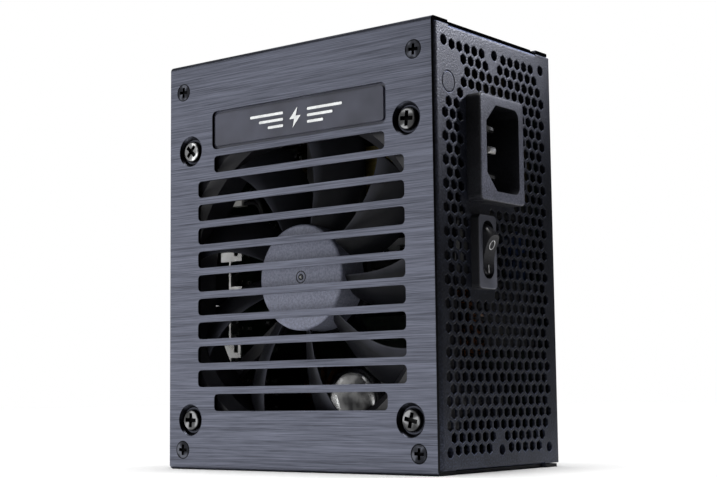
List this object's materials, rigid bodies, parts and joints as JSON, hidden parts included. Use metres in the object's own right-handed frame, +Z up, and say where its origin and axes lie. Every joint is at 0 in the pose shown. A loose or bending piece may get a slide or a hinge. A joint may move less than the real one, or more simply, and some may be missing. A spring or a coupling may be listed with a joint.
{
  "type": "power supply unit",
  "caption": "Small-form-factor computer power supply: brushed fan cover with slotted grille, honeycomb mains panel with inlet and rocker switch, modular output sockets.",
  "frame": {"origin": "middle of the bottom face, as the unit stands on its short end", "axes": "+Z up along the 125 mm height, -Y out of the fan cover, +X out of the mains panel"},
  "size_m": [0.1062, 0.0636, 0.125],
  "materials": {
    "powder_coated_steel": "fine matte powder coat",
    "brushed_cover": "brushed along X, dark anodised",
    "black_nickel": "black nickel",
    "bright_steel": "bright zinc",
    "plate_satin": "smooth satin anodised",
    "emblem_silver": "polished",
    "grey_moulding": "fine texture",
    "plated_contact": "tin plated",
    "black_moulding": "moulded",
    "rocker_black": "semi-gloss",
    "fan_plastic": "fine texture",
    "ferrite": "dull",
    "bearing_brass": "turned",
    "copper_winding": "enamelled copper",
    "board_green": "solder mask",
    "wire_black": "insulated wire",
    "wire_green": "insulated wire",
    "white_nylon": "moulded",
    "clear_film": "thin film",
    "can_sleeve": "sleeved can",
    "yellow_tape": "polyester tape",
    "blue_ceramic": "dipped ceramic",
    "fuse_glass": "glass tube",
    "bare_aluminium": "mill finish"
  },
  "bodies": {
    "case": {"base_chassis": "powder_coated_steel", "fan_cover": "brushed_cover", "cover_screws": "black_nickel", "fan_screws": "bright_steel", "name_plate": "plate_satin", "emblem": "emblem_silver", "inlet_housing": "grey_moulding", "inlet_pins": "plated_contact", "switch_housing": "black_moulding", "switch_terminals": "plated_contact", "fan_frame": "fan_plastic", "fan_bearing": "bearing_brass", "fan_stator": "bright_steel", "fan_coils": "copper_winding", "fan_circuit_board": "board_green", "fan_lead": "wire_black", "fan_plug": "white_nylon", "main_board": "board_green", "insulation_sheet": "clear_film", "board_standoffs": "bearing_brass", "board_screws": "bright_steel", "bulk_capacitor_1": "can_sleeve", "bulk_capacitor_2": "can_sleeve", "transformer_core": "ferrite", "transformer_winding": "yellow_tape", "transformer_bobbin": "black_moulding", "standby_transformer": "yellow_tape", "pfc_choke_core": "ferrite", "pfc_choke_winding": "copper_winding", "emi_choke_core": "ferrite", "emi_choke_winding": "copper_winding", "output_choke_core": "ferrite", "output_choke_winding": "copper_winding", "x_capacitors": "yellow_tape", "y_capacitors": "blue_ceramic", "fuse": "fuse_glass", "bridge_rectifier": "black_moulding", "relay": "black_moulding", "thermistor": "blue_ceramic", "primary_heat_sink": "bare_aluminium", "secondary_heat_sink": "bare_aluminium", "power_transistors": "black_moulding", "output_capacitors": "can_sleeve", "control_board": "board_green", "control_chips": "black_moulding", "socket_board": "board_green", "busbar": "plated_contact", "socket_18pin": "black_moulding", "socket_10pin": "black_moulding", "cpu_sockets": "black_moulding", "pcie_sockets": "black_moulding", "drive_sockets": "black_moulding", "socket_pins": "plated_contact", "inlet_wires": "wire_black", "earth_wire": "wire_green"},
    "fan_rotor": {"fan_impeller": "fan_plastic", "fan_rotor_ring": "bright_steel", "fan_magnet": "ferrite", "fan_shaft": "bright_steel"},
    "rocker": {"switch_rocker": "rocker_black"}
  },
  "joints": [
    {"name": "fan_spin", "type": "hinge", "parent": "case", "child": "fan_rotor", "pos_m": [0, -0.022, 0.056], "axis": [0, -1, 0], "continuous": true},
    {"name": "switch_rock", "type": "hinge", "parent": "case", "child": "rocker", "pos_m": [0.0486, -0.00945, 0.0617], "axis": [0, -1, 0], "range_deg": [0, 28]}
  ]
}
